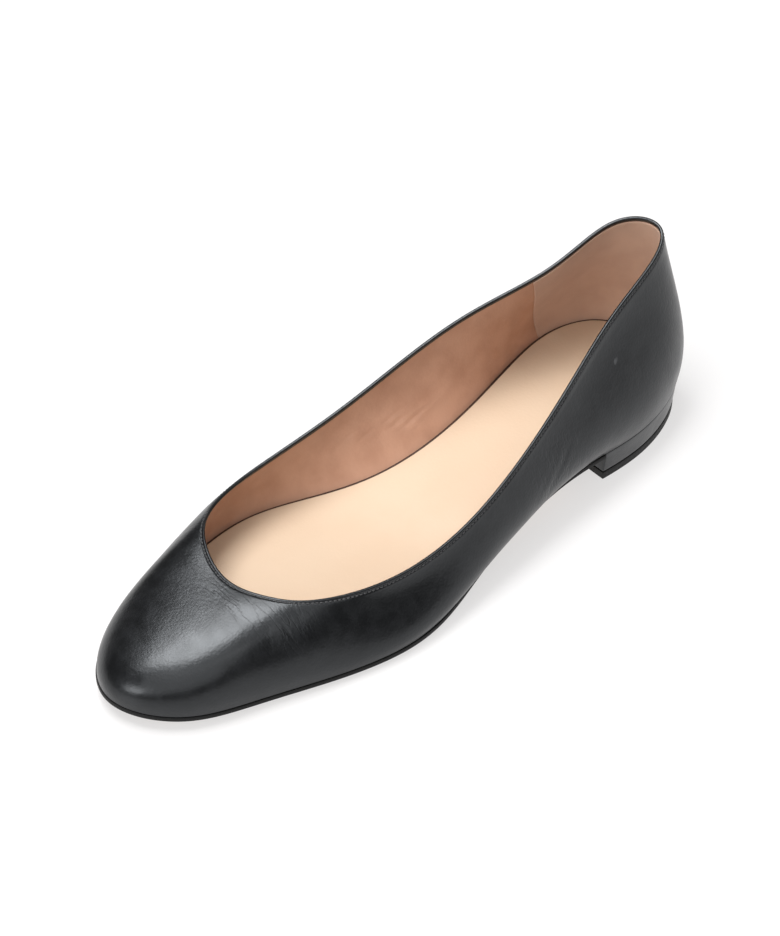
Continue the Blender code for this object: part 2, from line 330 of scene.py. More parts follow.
class WallNet:
    """The net of the wall's vertices: rings from foot to fold to inner foot, by spokes round the shoe."""

    LEAST_DROP = 0.3
    RINGS = 27
    SPOKES = 96

    def __init__(self, piece: Object) -> None:
        """Walk the net of a merged copy of the upper, and dissolve the diagonals of its faces.

        Args:
            piece: the copy.
        """
        mesh = bmesh.new()
        mesh.from_mesh(piece.data)
        start = max(mesh.verts, key=lambda vertex: vertex.co.y)
        ring = walk(start, straight_on(start, Vector((1.0, 0.0, 0.0))), self.SPOKES + 1)
        depth = self._steps_to_foot(start)
        below = straight_on(start, Vector((0.0, 0.0, -1.0)))
        above = straight_on(start, (start.co - below.co).normalized())
        columns = [walk(start, below, depth + 1)[:0:-1] + walk(start, above, self.RINGS - depth)]
        for vertex in ring[1:]:
            known = columns[-1]
            column = [vertex] * self.RINGS
            for level in range(depth + 1, self.RINGS):
                column[level] = self._fourth_corner(column[level - 1], known[level], known[level - 1])
            for level in range(depth - 1, -1, -1):
                column[level] = self._fourth_corner(column[level + 1], known[level], known[level + 1])
            columns.append(column)
        self.index = np.array([[vertex.index for vertex in column] for column in columns]).T
        if len(np.unique(self.index)) != len(mesh.verts):
            raise ValueError("the wall isn't one net of rings and spokes")
        self._dissolve_diagonals(mesh)
        mesh.to_mesh(piece.data)
        mesh.free()
        self.points = points_of(piece)[self.index]
        steps = np.linalg.norm(np.diff(self.points, axis=0), axis=2)
        reach = np.concatenate((np.zeros((1, steps.shape[1])), np.cumsum(steps, axis=0)))
        self.up = reach
        self.below = np.abs(reach - reach[Ring.CROWN.value])

    @staticmethod
    def _fourth_corner(first: BMVert, second: BMVert, known: BMVert) -> BMVert:
        """Find the corner of a four-sided face that is still unknown.

        Args:
            first: a corner next to it.
            second: the corner opposite the first one, which is next to it too.
            known: the corner between those two on the other side.

        Returns:
            The unknown corner.
        """
        near = {edge.other_vert(first) for edge in first.link_edges}
        beside = (edge.other_vert(second) for edge in second.link_edges)
        return next(vertex for vertex in beside if vertex in near and vertex is not known)

    def _steps_to_foot(self, start: BMVert) -> int:
        """Count the steps from a vertex on the outer face down to its foot.

        Args:
            start: the vertex.

        Returns:
            The number of steps.
        """
        column = walk(start, straight_on(start, Vector((0.0, 0.0, -1.0))), self.RINGS)
        for steps, (upper, lower) in enumerate(zip(column, column[1:])):
            fall = (lower.co - upper.co).normalized()
            if fall.z > -self.LEAST_DROP:
                return steps
        raise ValueError("the wall has no foot")

    def _dissolve_diagonals(self, mesh: BMesh) -> None:
        """Dissolve the edges that run neither along a ring nor along a spoke.

        Args:
            mesh: the wall's mesh, with the vertices numbered as in the index.
        """
        numbers = self.index.ravel().tolist()
        spot = {number: divmod(order, self.SPOKES) for order, number in enumerate(numbers)}
        diagonals = []
        for edge in mesh.edges:
            (ring_a, spoke_a), (ring_b, spoke_b) = (spot[vertex.index] for vertex in edge.verts)
            if ring_a != ring_b and spoke_a != spoke_b:
                diagonals.append(edge)
        bmesh.ops.dissolve_edges(mesh, edges=diagonals, use_verts=False)

    def spread(self, values: np.ndarray, count: int) -> np.ndarray:
        """Put numbers given ring by ring in the order of the vertices.

        Args:
            values: one row of numbers for each ring.
            count: how many vertices the piece has.

        Returns:
            One number for each vertex.
        """
        flat = np.zeros(count)
        flat[self.index.ravel()] = values.ravel()
        return flat


class Finish:
    """A material under construction, with short ways to add and join its nodes."""

    def __init__(self, name: str, group: bool = False) -> None:
        """Start a material, or a node group.

        Args:
            name: its name.
            group: true for a node group that materials share.
        """
        if group:
            self.tree = bpy.data.node_groups.new(name, "ShaderNodeTree")
            self.inside = self.tree.nodes.new("NodeGroupInput")
            self.result = self.tree.nodes.new("NodeGroupOutput")
        else:
            self.material = bpy.data.materials.new(name)
            self.material.use_nodes = True
            self.tree = self.material.node_tree
            self.shader = self.tree.nodes["Principled BSDF"]

    def node(self, kind: str, **settings: object) -> Node:
        """Add a node of a kind, with its options and the values of its sockets.

        Args:
            kind: the node's type without its common start.
            settings: options by their name, and values of sockets by in_ and their name.

        Returns:
            The new node.
        """
        made = self.tree.nodes.new("ShaderNode" + kind)
        for key, value in settings.items():
            if not key.startswith("in_"):
                setattr(made, key, value)
        for key, value in settings.items():
            if key.startswith("in_"):
                self.feed(made.inputs[key[3:].replace("_", " ")], value)
        return made

    def feed(self, socket: NodeSocket, value: object) -> None:
        """Fill a socket.

        Args:
            socket: the input.
            value: a number, a colour or another node's output.
        """
        if isinstance(value, NodeSocket):
            self.tree.links.new(value, socket)
        else:
            socket.default_value = value

    def math(self, operation: str, *values: object) -> NodeSocket:
        """Work out a sum.

        Args:
            operation: what to do with the values.
            values: one to three numbers or outputs.

        Returns:
            The output that holds the result.
        """
        made = self.node("Math", operation=operation)
        for socket, value in zip(made.inputs, values):
            self.feed(socket, value)
        return made.outputs[0]

    def range(
        self, value: object, low: float, high: float, out_low: float = 0.0, out_high: float = 1.0
    ) -> NodeSocket:
        """Pass smoothly from one number to another as a value rises.

        Args:
            value: the output to read.
            low: where the passage starts.
            high: where it ends.
            out_low: the result below it.
            out_high: the result above it.

        Returns:
            The output that holds the result.
        """
        made = self.node("MapRange", interpolation_type="SMOOTHSTEP")
        for name, number in (("Value", value), ("From Min", low), ("From Max", high),
                             ("To Min", out_low), ("To Max", out_high)):
            self.feed(made.inputs[name], number)
        return made.outputs["Result"]

    def blend(self, share: object, first: object, second: object) -> NodeSocket:
        """Mix two colours.

        Args:
            share: how much of the second one, from 0 to 1.
            first: the first colour.
            second: the second colour.

        Returns:
            The output that holds the mixed colour.
        """
        made = self.node("Mix", data_type="RGBA")
        self.feed(made.inputs[0], share)
        self.feed(made.inputs[6], first)
        self.feed(made.inputs[7], second)
        return made.outputs[2]

    def place(self) -> NodeSocket:
        """Object coordinates, in metres."""
        return self.node("TexCoord").outputs["Object"]

    def cloud(self, size: float, detail: float = 3.0, where: object = None) -> NodeSocket:
        """Soft noise.

        Args:
            size: length of its waves in metres.
            detail: how many finer waves lie on them.
            where: places to read it at, the object's own if none are given.

        Returns:
            The output with numbers from 0 to 1.
        """
        made = self.node("TexNoise", in_Vector=where or self.place(), in_Scale=1.0 / size, in_Detail=detail)
        return made.outputs["Fac"]

    def bump(self, height: object, depth: float, below: object = None) -> NodeSocket:
        """Normals of a relief.

        Args:
            height: from 0 to 1.
            depth: what 1 stands for in metres.
            below: normals of another relief under it.

        Returns:
            The output with the normals.
        """
        made = self.node("Bump", in_Height=height, in_Distance=depth, in_Strength=1.0)
        if below is not None:
            self.feed(made.inputs["Normal"], below)
        return made.outputs["Normal"]

    def attribute(self, name: str) -> NodeSocket:
        """Number kept on the piece's vertices."""
        return self.node("Attribute", attribute_name=name).outputs["Fac"]

    def use(self, group: NodeTree, **values: object) -> Node:
        """Place a shared group.

        Args:
            group: the group.
            values: its inputs by name.

        Returns:
            The group's node.
        """
        made = self.tree.nodes.new("ShaderNodeGroup")
        made.node_tree = group
        for key, value in values.items():
            self.feed(made.inputs[key.replace("_", " ")], value)
        return made

    def surface(self, **values: object) -> Material:
        """Set the shader's own sockets.

        Args:
            values: numbers, colours or outputs by the socket's name.

        Returns:
            The finished material.
        """
        for key, value in values.items():
            self.feed(self.shader.inputs[key.replace("_", " ")], value)
        return self.material


def grain_group() -> NodeTree:
    """Leather grain: small rounded cells between fine furrows, and patches of finer and coarser grain.

    Returns:
        A group that takes the cells' size and gives a height and the patches, each from about 0 to 1.
    """
    group = Finish("leather grain", group=True)
    sockets = group.tree.interface
    sockets.new_socket("Cell size", in_out="INPUT", socket_type="NodeSocketFloat").default_value = 0.0008
    sockets.new_socket("Height", in_out="OUTPUT", socket_type="NodeSocketFloat")
    sockets.new_socket("Patches", in_out="OUTPUT", socket_type="NodeSocketFloat")
    scale = group.math("DIVIDE", 1.0, group.inside.outputs["Cell size"])
    where = group.place()
    wide, finer, patchy = (group.math("MULTIPLY", scale, share) for share in (0.45, 2.2, 0.12))
    warp = group.node("TexNoise", in_Vector=where, in_Scale=wide, in_Detail=2.0)
    swing = group.node("VectorMath", operation="MULTIPLY_ADD")
    group.feed(swing.inputs[0], warp.outputs["Color"])
    group.feed(swing.inputs[1], (0.0007, 0.0007, 0.0007))
    group.feed(swing.inputs[2], where)
    cells = group.node("TexVoronoi", feature="SMOOTH_F1", in_Vector=swing.outputs[0], in_Scale=scale)
    group.feed(cells.inputs["Smoothness"], 0.4)
    domes = group.math("SUBTRACT", 1.0, cells.outputs["Distance"])
    fine = group.node("TexNoise", in_Vector=where, in_Scale=finer, in_Detail=2.0)
    height = group.math("MULTIPLY_ADD", fine.outputs["Fac"], 0.35, domes)
    patches = group.node("TexNoise", in_Vector=where, in_Scale=patchy, in_Detail=3.0)
    group.feed(group.result.inputs["Height"], height)
    group.feed(group.result.inputs["Patches"], patches.outputs["Fac"])
    return group.tree


@dataclass(frozen=True)
class BlackCalf:
    """Smooth black calf with a soft, slightly mottled shine."""

    name: str
    grain: NodeTree
    deep: Colour = (0.0022, 0.0023, 0.0026, 1.0)
    worn: Colour = (0.0055, 0.0057, 0.0064, 1.0)
    coat: float = 0.15
    glossy: float = 0.29
    dull: float = 0.37
    tint: Colour = (0.90, 0.95, 1.0, 1.0)
    cell: float = 0.0009
    relief: float = 0.000030
    streak: float = 0.0042
    streak_depth: float = 0.000045
    wave: float = 0.0065
    wave_depth: float = 0.00008
    wrinkle: float = 0.0028
    wrinkle_line: float = 0.07
    wrinkle_depth: float = 0.000045
    stretch: Point = (0.20, 1.0, 0.40)
    scuff: Point = (0.0207, 0.0790, 0.0454)
    scuff_edge: tuple[float, float] = (0.0022, 0.0032)
    scuff_strength: float = 0.7
    fray: float = 0.0036
    grazed: Colour = (0.075, 0.077, 0.080, 1.0)

    def make(self) -> Material:
        """Build the material.

        Returns:
            The material.
        """
        made = Finish(self.name)
        grain = made.use(self.grain, Cell_size=self.cell)
        patches = grain.outputs["Patches"]
        streaks = made.cloud(self.streak, 4.0)
        colour = made.blend(made.range(streaks, 0.35, 0.75), self.deep, self.worn)
        mottle = made.math("ADD", patches, made.math("MULTIPLY", streaks, 0.6))
        rough = made.range(mottle, 0.55, 1.05, self.glossy, self.dull)
        waves = made.bump(made.cloud(self.wave, 2.0), self.wave_depth)
        creased = made.bump(streaks, self.streak_depth, waves)
        stretched = made.node("VectorMath", operation="MULTIPLY", in_Vector=made.place())
        made.feed(stretched.inputs[1], self.stretch)
        threads = made.cloud(self.wrinkle, 3.0, stretched.outputs[0])
        away = made.node("VectorMath", operation="DISTANCE", in_Vector=made.place())
        made.feed(away.inputs[1], self.scuff)
        frayed = made.math("MULTIPLY_ADD", threads, self.fray, away.outputs["Value"])
        scuffed = made.range(frayed, *self.scuff_edge, self.scuff_strength, 0.0)
        colour = made.blend(scuffed, colour, self.grazed)
        from_middle = made.math("ABSOLUTE", made.math("SUBTRACT", threads, 0.5))
        lines = made.range(from_middle, 0.0, self.wrinkle_line)
        wrinkles = made.math("MULTIPLY", lines, made.attribute("bent"))
        wrinkled = made.bump(wrinkles, self.wrinkle_depth, creased)
        fine = made.bump(grain.outputs["Height"], self.relief, wrinkled)
        return made.surface(
            Base_Color=colour, Roughness=rough, Normal=fine, Specular_IOR_Level=0.45,
            Specular_Tint=self.tint, Coat_Weight=self.coat, Coat_Roughness=0.2,
        )


@dataclass(frozen=True)
class SoftHide:
    """Matt undyed or lightly dyed leather, as used for linings, socks and soles."""

    name: str
    grain: NodeTree
    light: Colour
    dark: Colour
    roughness: float = 0.5
    patch: float = 0.012
    cell: float = 0.0011
    relief: float = 0.00003
    bed: float = 0.00018
    sheen: float = 0.0

    def make(self) -> Material:
        """Build the material.

        Returns:
            The material.
        """
        made = Finish(self.name)
        grain = made.use(self.grain, Cell_size=self.cell)
        clouds = made.cloud(self.patch, 4.0)
        colour = made.blend(made.range(clouds, 0.3, 0.75), self.light, self.dark)
        rough = made.range(grain.outputs["Patches"], 0.3, 0.7, self.roughness - 0.06, self.roughness + 0.08)
        soft = made.bump(clouds, self.bed)
        fine = made.bump(grain.outputs["Height"], self.relief, soft)
        return made.surface(
            Base_Color=colour, Roughness=rough, Normal=fine, Specular_IOR_Level=0.35,
            Sheen_Weight=self.sheen, Sheen_Roughness=0.5,
        )


@dataclass(frozen=True)
class PaintedEdge:
    """Sole leather: a black painted edge that runs a little way under, and natural leather in the tread."""

    name: str
    grain: NodeTree
    paint: Colour = (0.008, 0.008, 0.008, 1.0)
    natural: Colour = (0.50, 0.33, 0.20, 1.0)
    handled: Colour = (0.40, 0.25, 0.15, 1.0)
    reach: float = 0.0052
    wander: float = 0.0016
    blur: tuple[float, float] = (0.0005, 0.0001)
    cell: float = 0.0016
    relief: float = 0.00003

    def make(self) -> Material:
        """Build the material.

        Returns:
            The material.
        """
        made = Finish(self.name)
        grain = made.use(self.grain, Cell_size=self.cell)
        wander = made.math("MULTIPLY", made.cloud(0.006, 3.0), self.wander)
        inward = made.math("SUBTRACT", made.attribute("from_edge"), wander)
        bare = made.range(inward, self.reach - self.blur[0], self.reach - self.blur[1])
        clouds = made.cloud(0.02, 4.0)
        hide = made.blend(made.range(clouds, 0.35, 0.7), self.natural, self.handled)
        colour = made.blend(bare, self.paint, hide)
        rough = made.range(bare, 0.0, 1.0, 0.46, 0.62)
        fine = made.bump(grain.outputs["Height"], self.relief)
        return made.surface(Base_Color=colour, Roughness=rough, Normal=fine, Specular_IOR_Level=0.18)


@dataclass(frozen=True)
class Rubber:
    """Matt black rubber with a fine cast texture."""

    name: str
    colour: Colour = (0.010, 0.010, 0.010, 1.0)
    faded: Colour = (0.018, 0.018, 0.018, 1.0)

    def make(self) -> Material:
        """Build the material.

        Returns:
            The material.
        """
        made = Finish(self.name)
        specks = made.cloud(0.0007, 3.0)
        colour = made.blend(made.range(made.cloud(0.006), 0.35, 0.7), self.colour, self.faded)
        return made.surface(
            Base_Color=colour, Roughness=made.range(specks, 0.3, 0.7, 0.55, 0.72),
            Normal=made.bump(specks, 0.00004), Specular_IOR_Level=0.4,
        )


@dataclass(frozen=True)
class Thread:
    """Black twisted sewing thread."""

    name: str
    dark: Colour = (0.012, 0.012, 0.013, 1.0)
    light: Colour = (0.050, 0.050, 0.054, 1.0)

    def make(self) -> Material:
        """Build the material.

        Returns:
            The material.
        """
        made = Finish(self.name)
        fibres = made.cloud(0.00025, 2.0)
        colour = made.blend(made.range(fibres, 0.3, 0.7), self.dark, self.light)
        return made.surface(
            Base_Color=colour, Roughness=made.range(fibres, 0.3, 0.7, 0.42, 0.6),
            Normal=made.bump(fibres, 0.00004), Sheen_Weight=0.2,
        )


@dataclass(frozen=True)
class Ripple:
    """Soft irregular waves: length in metres, a number that picks the pattern, height in millimetres."""

    size: float
    seed: float
    height: float

    def relief(self, points: np.ndarray) -> np.ndarray:
        """How far the waves move each point.

        Args:
            points: places in metres.

        Returns:
            One offset in metres for each place.
        """
        shift = Vector((self.seed, self.seed * 1.7, self.seed * 2.3))
        waves = np.array([noise.noise(Vector(point) / self.size + shift) for point in points])
        return waves * self.height * MM


@dataclass(frozen=True)
class Crease:
    """A trough pressed into leather along a bowed line, with a soft ridge on each side.

    Places, width and depth are in millimetres; ridge_out, ridge_width and reach count in widths.
    """

    start: Point
    stop: Point
    bow: Point
    width: float
    depth: float
    ridge: float = 0.35
    ridge_out: float = 1.9
    ridge_width: float = 0.9
    reach: float = 5.0
    fade: float = 0.3
    steps: int = 10

    def relief(self, points: np.ndarray) -> np.ndarray:
        """How far the trough moves each point along its normal.

        Args:
            points: places on the leather in metres.

        Returns:
            One offset in metres for each place, negative in the trough.
        """
        first = np.array(self.start) * MM
        last = np.array(self.stop) * MM
        middle = (first + last) / 2.0 + np.array(self.bow) * MM
        offset = np.zeros(len(points))
        margin = self.width * self.reach * MM + np.linalg.norm(self.bow) * MM
        low = np.minimum(first, last) - margin
        high = np.maximum(first, last) + margin
        near = np.flatnonzero(np.all((points > low) & (points < high), axis=1))
        if not len(near):
            return offset
        share = np.linspace(0.0, 1.0, self.steps + 1)[:, None]
        line = (1 - share) ** 2 * first + 2 * share * (1 - share) * middle + share ** 2 * last
        best = np.full(len(near), 1.0)
        along = np.zeros(len(near))
        for step in range(self.steps):
            side = line[step + 1] - line[step]
            ahead = np.clip((points[near] - line[step]) @ side / (side @ side), 0.0, 1.0)
            gap = np.linalg.norm(points[near] - line[step] - ahead[:, None] * side, axis=1)
            closer = gap < best
            best[closer] = gap[closer]
            along[closer] = (step + ahead[closer]) / self.steps
        across = best / (self.width * MM)
        fade = smooth_step(along / self.fade) * smooth_step((1.0 - along) / self.fade)
        rise = self.ridge * np.exp(-((across - self.ridge_out) / self.ridge_width) ** 2)
        shape = -np.exp(-across ** 2) + rise
        offset[near] = self.depth * MM * fade * shape
        return offset


# Troughs of the outer leather, in millimetres: fine uneven fans below the throat, soft folds at the waist
CREASES = (
    Crease((15.2, -70.6, 28.0), (25.6, -70.6, 21.8), (0.5, -0.9, 0.3), 0.45, 0.13),
    Crease((12.6, -71.6, 28.2), (17.2, -75.8, 25.6), (0.6, 0.3, 0.2), 0.36, 0.030),
    Crease((17.6, -69.4, 27.7), (27.6, -75.4, 19.4), (0.9, 0.2, 0.3), 0.36, 0.034),
    Crease((21.9, -66.2, 26.0), (30.4, -67.2, 17.6), (0.5, -0.7, 0.4), 0.45, 0.050),
    Crease((19.4, -65.7, 27.9), (23.6, -62.9, 26.2), (0.3, 0.6, 0.2), 0.36, 0.030),
    Crease((25.4, -60.6, 25.8), (32.4, -65.8, 16.0), (0.8, 0.2, 0.4), 0.55, 0.030),
    Crease((5.8, -74.4, 28.9), (10.4, -77.0, 27.8), (0.3, 0.2, 0.2), 0.45, 0.022),
    Crease((-8.0, -75.4, 29.5), (-15.6, -79.4, 28.0), (-0.2, 0.5, 0.2), 0.45, 0.022),
    Crease((-18.6, -72.4, 30.0), (-24.0, -77.2, 26.6), (-0.3, 0.3, 0.2), 0.40, 0.030),
    Crease((-22.6, -69.2, 30.0), (-33.6, -72.4, 22.4), (-0.3, -0.6, 0.4), 0.45, 0.036),
    Crease((-25.4, -66.0, 30.0), (-31.8, -66.4, 26.0), (-0.3, -0.4, 0.4), 0.45, 0.060),
    Crease((-28.6, -60.6, 29.6), (-36.8, -61.6, 20.0), (-0.3, 0.4, 0.4), 0.55, 0.044),
    Crease((-30.5, -54.0, 29.0), (-37.2, -57.4, 19.6), (-0.4, 0.3, 0.4), 0.60, 0.030),
    Crease((28.6, 51.4, 33.8), (34.4, 34.2, 19.0), (0.8, 0.5, 0.2), 1.30, 0.085),
    Crease((30.8, 43.0, 32.4), (35.6, 28.0, 19.6), (0.6, 0.3, 0.2), 1.10, 0.040),
    Crease((26.8, 57.6, 34.6), (31.6, 44.0, 20.6), (0.6, 0.3, 0.2), 1.10, 0.040),
    Crease((34.0, 14.0, 29.4), (37.9, 1.6, 17.4), (0.5, 0.2, 0.2), 1.60, 0.050),
)

# Middles and reaches of the parts of the leather that bend in wear and carry fine wrinkles, in millimetres
BENDS = (
    ((21.0, -69.0, 25.0), (13.0, 9.0, 14.0)),
    ((0.0, -79.0, 28.0), (16.0, 7.0, 10.0)),
    ((-29.0, -66.0, 26.0), (11.0, 10.0, 12.0)),
    ((32.0, 42.0, 26.0), (9.0, 13.0, 14.0)),
)


@dataclass(frozen=True)
class Swell:
    """A broad low hump or hollow of the leather."""

    centre: Point
    radius: Point
    height: float

    def relief(self, points: np.ndarray) -> np.ndarray:
        """How far the hump lifts each point along its normal."""
        away = (points / MM - np.array(self.centre)) / np.array(self.radius)
        return self.height * MM * np.exp(-np.sum(away ** 2, axis=1))


SWELLS = (
    Swell((20.0, -78.0, 24.0), (10.0, 5.0, 10.0), -0.35),
    Swell((34.5, 38.0, 25.0), (12.0, 12.0, 12.0), -0.35),
    Swell((-33.0, -62.0, 24.0), (10.0, 7.0, 10.0), -0.25),
)


# Parts of the outer leather that get a finer mesh: lowest and highest corner of each box, in metres
FAR = 1.0
CREASED = (
    ((-FAR, -0.085, 0.0165), (FAR, -0.052, FAR)),
    ((0.02, 0.029, 0.018), (FAR, 0.055, FAR)),
)

# Wrinkles of the lining on the inner side of the foot, in millimetres
LINING_WRINKLES = (
    Crease((-22.8, 20.3, 18.9), (-25.0, 42.8, 24.6), (-0.4, 0.0, 0.6), 0.75, 0.40),
    Crease((-23.4, 13.0, 19.2), (-26.6, 31.0, 24.4), (-0.4, 0.0, 0.5), 0.65, 0.32),
    Crease((-24.6, 9.0, 21.0), (-27.4, 25.0, 25.6), (-0.4, 0.0, 0.5), 0.60, 0.27),
    Crease((-23.0, 33.0, 20.0), (-25.3, 50.0, 26.4), (-0.4, 0.0, 0.6), 0.75, 0.30),
    Crease((-26.0, 0.0, 18.6), (-29.4, 17.0, 23.4), (-0.4, 0.0, 0.5), 0.65, 0.28),
    Crease((-28.4, -6.0, 20.4), (-31.0, 9.0, 24.6), (-0.4, 0.0, 0.5), 0.60, 0.25),
    Crease((-28.0, -12.0, 17.6), (-31.6, 3.0, 22.0), (-0.4, 0.0, 0.5), 0.65, 0.25),
    Crease((-31.0, -20.0, 18.8), (-33.8, -7.0, 23.0), (-0.4, 0.0, 0.5), 0.60, 0.21),
)


@dataclass
class Upper:
    """Outer leather with its folded, stitched edge, and the lining and heel grip inside it."""

    frame: dict
    calf: Material
    lining_hide: Material
    grip_hide: Material
    thread: Material
    hide: float = 0.0005
    broad: Ripple = Ripple(0.021, 3.0, 0.16)
    fine: Ripple = Ripple(0.009, 8.0, 0.045)
    turn_in: float = 0.0009
    calm: float = 0.006
    edge_to_stitch: float = 0.0017
    stitch_sink: float = 0.00020
    stitch_spread: float = 0.00045
    edge_pad: float = 0.00010
    pad_below: float = 0.0006
    pad_spread: float = 0.0007
    lining_hide_thickness: float = 0.0005
    lining_recess: float = 0.00012
    lining_start: float = 0.6
    lining_hollows: Ripple = Ripple(0.012, 5.0, 0.12)
    grip_start: float = 1.3
    grip_proud: float = 0.00035
    grip_front: Point = (0.0, 0.0856, 0.032)
    grip_facing: Point = (0.0, 0.952, 0.306)
    grip_rounding: float = 0.00012
    foot_gap: float = 0.0009
    stitch_pitch: float = 0.00150
    stitch_length: float = 0.00122
    stitch_width: float = 0.00058
    stitch_lift: float = 0.18
    seam_y: float = 0.1
    seam_foot: float = 0.0175
    seam_reaches: tuple[float, float] = (0.003, 0.0016)
    seam_width: float = 0.00035
    seam_depth: float = 0.00022

    def build(self) -> list[Object]:
        """Build the pieces of the upper."""
        return [self.outer(), self.stitches(), self.lining(), self.heel_grip()]

    def _wall(self, name: str) -> tuple[Object, WallNet]:
        """Copy the wall and keep its distances on the vertices.

        Args:
            name: the copy's name.

        Returns:
            The copy and its net.
        """
        piece = copy_node(self.frame, "upper", name, net=True)
        net = WallNet(piece)
        count = len(piece.data.vertices)
        rings = np.repeat(np.arange(len(net.index))[:, None], net.index.shape[1], axis=1)
        note(piece, "ring", net.spread(rings, count))
        note(piece, "below_edge", net.spread(net.below, count))
        note(piece, "above_foot", net.spread(net.up, count))
        return piece, net

    def _keep_rings(self, piece: Object, first: int, last: int) -> None:
        """Delete all rings but some.

        Args:
            piece: a copy of the wall.
            first: the first ring to keep.
            last: the last ring to keep.
        """
        rings = noted(piece, "ring")
        mark(piece, "VERT", (rings < first - 0.5) | (rings > last + 0.5))
        with editing(piece):
            bpy.ops.mesh.delete(type="VERT")

    def _split_edge(self, piece: Object, cuts: int) -> None:
        """Cut the strip under the top of the outer face into narrower ones.

        Args:
            piece: a copy of the wall.
            cuts: the number of cuts.
        """
        ends = np.empty(len(piece.data.edges) * 2, dtype=np.int32)
        piece.data.edges.foreach_get("vertices", ends)
        rings = noted(piece, "ring")[ends.reshape(-1, 2)]
        crossing = (rings.min(axis=1) == Ring.TOP.value - 1) & (rings.max(axis=1) == Ring.TOP.value)
        mark(piece, "EDGE", crossing)
        with editing(piece, "EDGE"):
            bpy.ops.mesh.subdivide(number_cuts=cuts)

    def _inward(self, points: np.ndarray, net: WallNet) -> np.ndarray:
        """Directions from the inner end of the fold down the inner face, one for each spoke."""
        down = points[net.index[Ring.INNER_TOP.value + 1]] - points[net.index[Ring.INNER_TOP.value]]
        return down / np.linalg.norm(down, axis=1, keepdims=True)

    def outer(self) -> Object:
        """Build the outer leather: turned over at the top, creased, with the back seam.

        Returns:
            The piece.
        """
        piece, net = self._wall("upper_leather")
        points = points_of(piece)
        top = net.index[Ring.INNER_TOP.value]
        following = net.index[Ring.INNER_TOP.value + 1]
        points[following] = points[top] + self._inward(points, net) * self.turn_in
        place(piece, points)
        below = noted(piece, "below_edge")
        below[following] = below[top] + self.turn_in
        note(piece, "below_edge", below)
        self._keep_rings(piece, Ring.FOOT.value, Ring.INNER_TOP.value + 1)
        self._split_edge(piece, 3)
        subdivide(piece, 2)
        self._refine(piece)
        self._press(piece)
        thicken(piece, self.hide)
        return finish_piece(piece, self.calf, "upper")

    def _refine(self, piece: Object) -> None:
        """Give the creased parts of the outer face and its back seam a finer mesh.

        Args:
            piece: the outer leather, still a sheet.
        """
        wide, narrow = (
            ((-reach, self.seam_y, self.seam_foot), (reach, FAR, FAR)) for reach in self.seam_reaches
        )
        rings = noted(piece, "ring")
        outside = np.array([rings[polygon.vertices[0]] < Ring.TOP.value for polygon in piece.data.polygons])
        mark(piece, "FACE", faces_within(piece, (*CREASED, wide)) & outside)
        with editing(piece, "FACE"):
            bpy.ops.mesh.subdivide(number_cuts=1)
            bpy.ops.mesh.vertices_smooth(factor=0.5, repeat=4)
        mark(piece, "FACE", faces_within(piece, (narrow,)))
        with editing(piece, "FACE"):
            bpy.ops.mesh.subdivide(number_cuts=1)
            bpy.ops.mesh.vertices_smooth(factor=0.5, repeat=2)

    def _press(self, piece: Object) -> None:
        """Move the leather along its normals: creases, swells, stitch line and back seam.

        Args:
            piece: the outer leather, still a sheet.
        """
        points = points_of(piece)
        normals = normals_of(piece)
        below = noted(piece, "below_edge")
        outside = noted(piece, "ring") <= Ring.TOP.value
        offset = self.broad.relief(points) + self.fine.relief(points)
        foot = smooth_step(noted(piece, "above_foot") / self.calm)
        offset *= foot * smooth_step(below / self.calm)
        for form in CREASES + SWELLS:
            offset += form.relief(points)
        line = (below - self.edge_to_stitch) / self.stitch_spread
        offset -= np.where(outside, self.stitch_sink * np.exp(-line ** 2), 0.0)
        pad = (below - self.pad_below) / self.pad_spread
        offset += self.edge_pad * np.exp(-pad ** 2)
        seam = points[:, 0] / self.seam_width
        at_back = (points[:, 1] > self.seam_y) & outside
        offset -= np.where(at_back, self.seam_depth * np.exp(-seam ** 2), 0.0)
        place(piece, points + normals * offset[:, None])
        bent = np.zeros(len(points))
        for middle, reach in BENDS:
            away = (points / MM - middle) / reach
            bent += np.exp(-(away ** 2).sum(axis=1))
        note(piece, "bent", np.clip(bent, 0.0, 1.0) * foot)

    def stitches(self) -> Object:
        """Sew a row of stitches just below the folded edge.

        Returns:
            The piece.
        """
        leather = bpy.data.objects["upper_leather"]
        tree = BVHTree.FromPolygons(
            [vertex.co for vertex in leather.data.vertices],
            [tuple(polygon.vertices) for polygon in leather.data.polygons],
        )
        copy, net = self._wall("stitch_guide")
        bpy.data.objects.remove(copy)
        top = net.points[Ring.TOP.value]
        lower = net.points[Ring.TOP.value - 1]
        drop = self.edge_to_stitch - net.below[Ring.TOP.value].mean()
        down = (lower - top) / np.linalg.norm(lower - top, axis=1, keepdims=True)
        guide = top + down * drop
        closed = np.vstack((guide, guide[:1]))
        reach = np.concatenate(([0.0], np.cumsum(np.linalg.norm(np.diff(closed, axis=0), axis=1))))
        count = round(reach[-1] / self.stitch_pitch)
        shares = np.arange(count) * reach[-1] / count
        smooth = [self._round(guide, reach, share) for share in shares]
        bpy.ops.object.select_all(action="DESELECT")
        bpy.ops.mesh.primitive_uv_sphere_add(segments=8, ring_count=6, radius=0.5)
        stitch = bpy.context.active_object
        stitch.scale = (self.stitch_width, self.stitch_length, self.stitch_width * 0.8)
        bpy.ops.object.transform_apply(location=False, rotation=False, scale=True)
        shape = points_of(stitch)
        corners = [tuple(polygon.vertices) for polygon in stitch.data.polygons]
        bpy.data.objects.remove(stitch)
        lift = self.stitch_width * self.stitch_lift
        vertices = []
        faces = []
        for index, spot in enumerate(smooth):
            onto, normal, _, _ = tree.find_nearest(Vector(spot))
            ahead = Vector(smooth[(index + 1) % count]) - Vector(smooth[index - 1])
